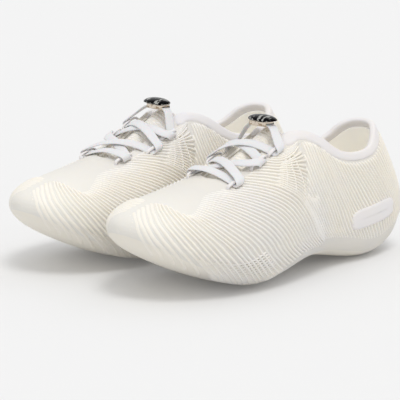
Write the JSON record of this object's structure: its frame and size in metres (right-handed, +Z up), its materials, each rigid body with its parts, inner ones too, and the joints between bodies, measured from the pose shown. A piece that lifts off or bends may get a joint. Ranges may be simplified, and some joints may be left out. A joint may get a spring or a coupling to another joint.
{
  "type": "pair of trainers",
  "caption": "Pair of low printed-lattice trainers: ribbed shells over an inner sock, flat elastic lacing through loops, and a sprung push lock on the instep.",
  "frame": {"origin": "on the ground, at the middle of the pair's bounding box", "axes": "+Y from the toes to the heels, +X towards the left shoe, +Z up"},
  "size_m": [0.2332, 0.305, 0.1292],
  "materials": {
    "printed_upper": "printed elastomer, fine ribs, satin",
    "inner_lattice": "printed elastomer, open ribs, satin",
    "sole_lattice": "printed elastomer lattice",
    "sole_skin": "smooth printed elastomer",
    "smooth_rim": "smooth printed elastomer, satin",
    "footbed_foam": "knitted cover over foam",
    "lace_webbing": "flat woven elastic",
    "mirror_chrome": "polished mirror",
    "nickel_plate": "satin nickel plate",
    "spring_steel": "drawn steel wire"
  },
  "bodies": {
    "left_shoe": {"left_outsole": "sole_skin", "left_midsole": "sole_lattice", "left_footbed": "footbed_foam", "left_vamp_shell": "printed_upper", "left_heel_shell": "printed_upper", "left_inner_sock": "inner_lattice", "left_collar_rim": "smooth_rim", "left_tongue": "inner_lattice", "left_heel_patch": "smooth_rim", "left_lace_loops": "smooth_rim", "left_lace": "lace_webbing", "left_lock_base": "nickel_plate", "left_lock_spring": "spring_steel", "left_lock_pin": "spring_steel"},
    "left_lock_button": {"left_lock_cap": "mirror_chrome"},
    "right_shoe": {"right_outsole": "sole_skin", "right_midsole": "sole_lattice", "right_footbed": "footbed_foam", "right_vamp_shell": "printed_upper", "right_heel_shell": "printed_upper", "right_inner_sock": "inner_lattice", "right_collar_rim": "smooth_rim", "right_tongue": "inner_lattice", "right_heel_patch": "smooth_rim", "right_lace_loops": "smooth_rim", "right_lace": "lace_webbing", "right_lock_base": "nickel_plate", "right_lock_spring": "spring_steel", "right_lock_pin": "spring_steel"},
    "right_lock_button": {"right_lock_cap": "mirror_chrome"}
  },
  "joints": [
    {"name": "right_shoe_apart", "type": "slide", "parent": "left_shoe", "child": "right_shoe", "axis": [-1, 0, 0], "range_m": [0, 0.12]},
    {"name": "left_lock_press", "type": "slide", "parent": "left_shoe", "child": "left_lock_button", "axis": [0, 0, -1], "range_m": [0, 0.0008], "stiffness_N_per_m": 900, "deforming": ["left_lock_spring"]},
    {"name": "right_lock_press", "type": "slide", "parent": "right_shoe", "child": "right_lock_button", "axis": [0, 0, -1], "range_m": [0, 0.0008], "stiffness_N_per_m": 900, "deforming": ["right_lock_spring"]}
  ]
}
